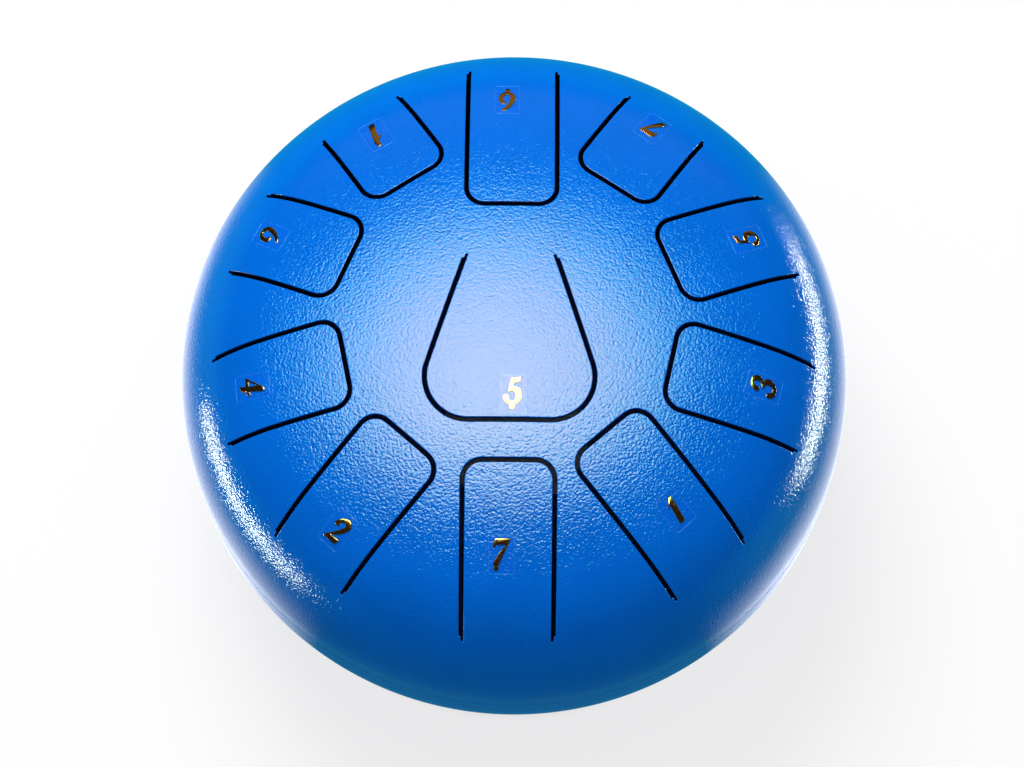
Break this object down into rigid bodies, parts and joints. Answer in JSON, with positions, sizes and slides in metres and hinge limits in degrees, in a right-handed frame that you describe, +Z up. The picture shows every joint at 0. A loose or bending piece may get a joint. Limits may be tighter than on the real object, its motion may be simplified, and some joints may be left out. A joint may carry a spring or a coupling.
{
  "type": "steel tongue drum",
  "caption": "Domed steel tongue drum: a powder-coated pressed shell with slit-cut sprung tongues and numbered labels, welded to a matching bottom shell on rubber feet.",
  "frame": {"origin": "centre of the drum on the plane its feet stand on", "axes": "+Z up along the drum's axis; -Y towards the player, who reads the centre digit upright; +X to the player's right"},
  "size_m": [0.254, 0.254, 0.158],
  "materials": {
    "blue_powder_coat": "glossy azure powder coat with a fine orange-peel texture",
    "polished_gold": "polished gold-coloured metal with rounded edges",
    "clear_film": "clear transfer film",
    "black_rubber": "matt moulded rubber",
    "zinc_steel": "bright zinc plate"
  },
  "bodies": {
    "shell": {"bottom_shell": "blue_powder_coat", "foot_front_left": "black_rubber", "foot_front_right": "black_rubber", "foot_nuts": "zinc_steel", "foot_rear_left": "black_rubber", "foot_rear_right": "black_rubber", "foot_screws": "zinc_steel", "foot_washers": "zinc_steel", "nut_washers": "zinc_steel", "seam_weld": "blue_powder_coat", "top_shell": "blue_powder_coat"},
    "tongue_low_6": {"tongue_low_6": "blue_powder_coat", "film_low_6": "clear_film", "digit_low_6": "polished_gold"},
    "tongue_7": {"tongue_7": "blue_powder_coat", "film_7": "clear_film", "digit_7": "polished_gold"},
    "tongue_5": {"tongue_5": "blue_powder_coat", "film_5": "clear_film", "digit_5": "polished_gold"},
    "tongue_3": {"tongue_3": "blue_powder_coat", "film_3": "clear_film", "digit_3": "polished_gold"},
    "tongue_1": {"tongue_1": "blue_powder_coat", "film_1": "clear_film", "digit_1": "polished_gold"},
    "tongue_low_7": {"tongue_low_7": "blue_powder_coat", "film_low_7": "clear_film", "digit_low_7": "polished_gold"},
    "tongue_2": {"tongue_2": "blue_powder_coat", "film_2": "clear_film", "digit_2": "polished_gold"},
    "tongue_4": {"tongue_4": "blue_powder_coat", "film_4": "clear_film", "digit_4": "polished_gold"},
    "tongue_6": {"tongue_6": "blue_powder_coat", "film_6": "clear_film", "digit_6": "polished_gold"},
    "tongue_high_1": {"tongue_high_1": "blue_powder_coat", "film_high_1": "clear_film", "digit_high_1": "polished_gold"},
    "tongue_low_5": {"tongue_low_5": "blue_powder_coat", "film_low_5": "clear_film", "digit_low_5": "polished_gold"}
  },
  "joints": [
    {"name": "flex_low_6", "type": "hinge", "parent": "shell", "child": "tongue_low_6", "pos_m": [-0.0015, 0.1087, 0.12986], "axis": [-1, 0, 0], "range_deg": [-0.475, 0.475], "stiffness_Nm_per_rad": 5.301, "springref_deg": 0.09},
    {"name": "flex_7", "type": "hinge", "parent": "shell", "child": "tongue_7", "pos_m": [0.05634, 0.08907, 0.13259], "axis": [-0.8387, 0.5446, 0], "range_deg": [-0.77, 0.77], "stiffness_Nm_per_rad": 1.257, "springref_deg": 0.14},
    {"name": "flex_5", "type": "hinge", "parent": "shell", "child": "tongue_5", "pos_m": [0.09892, 0.04366, 0.13037], "axis": [-0.3987, 0.9171, 0], "range_deg": [-0.64, 0.64], "stiffness_Nm_per_rad": 2.147, "springref_deg": 0.12},
    {"name": "flex_3", "type": "hinge", "parent": "shell", "child": "tongue_3", "pos_m": [0.10766, -0.0232, 0.12854], "axis": [0.2079, 0.9781, 0], "range_deg": [-0.57, 0.57], "stiffness_Nm_per_rad": 3.06, "springref_deg": 0.1},
    {"name": "flex_1", "type": "hinge", "parent": "shell", "child": "tongue_1", "pos_m": [0.07218, -0.08475, 0.12736], "axis": [0.7547, 0.6561, 0], "range_deg": [-0.49, 0.49], "stiffness_Nm_per_rad": 4.816, "springref_deg": 0.09},
    {"name": "flex_low_7", "type": "hinge", "parent": "shell", "child": "tongue_low_7", "pos_m": [-0.0015, -0.1113, 0.12737], "axis": [1, 0, 0], "range_deg": [-0.482, 0.482], "stiffness_Nm_per_rad": 5.067, "springref_deg": 0.09},
    {"name": "flex_2", "type": "hinge", "parent": "shell", "child": "tongue_2", "pos_m": [-0.07419, -0.08362, 0.12688], "axis": [0.7547, -0.6561, 0], "range_deg": [-0.54, 0.54], "stiffness_Nm_per_rad": 3.682, "springref_deg": 0.1},
    {"name": "flex_4", "type": "hinge", "parent": "shell", "child": "tongue_4", "pos_m": [-0.10822, -0.02268, 0.12812], "axis": [0.2079, -0.9781, 0], "range_deg": [-0.62, 0.62], "stiffness_Nm_per_rad": 2.386, "springref_deg": 0.11},
    {"name": "flex_6", "type": "hinge", "parent": "shell", "child": "tongue_6", "pos_m": [-0.09981, 0.04275, 0.12998], "axis": [-0.3987, -0.9171, 0], "range_deg": [-0.7, 0.7], "stiffness_Nm_per_rad": 1.644, "springref_deg": 0.13},
    {"name": "flex_high_1", "type": "hinge", "parent": "shell", "child": "tongue_high_1", "pos_m": [-0.0589, 0.0884, 0.13195], "axis": [-0.8387, -0.5446, 0], "range_deg": [-0.82, 0.82], "stiffness_Nm_per_rad": 1.038, "springref_deg": 0.15},
    {"name": "flex_low_5", "type": "hinge", "parent": "shell", "child": "tongue_low_5", "pos_m": [-0.0015, 0.0257, 0.1558], "axis": [-1, 0, 0], "range_deg": [-0.467, 0.467], "stiffness_Nm_per_rad": 9.049, "springref_deg": 0.09}
  ]
}
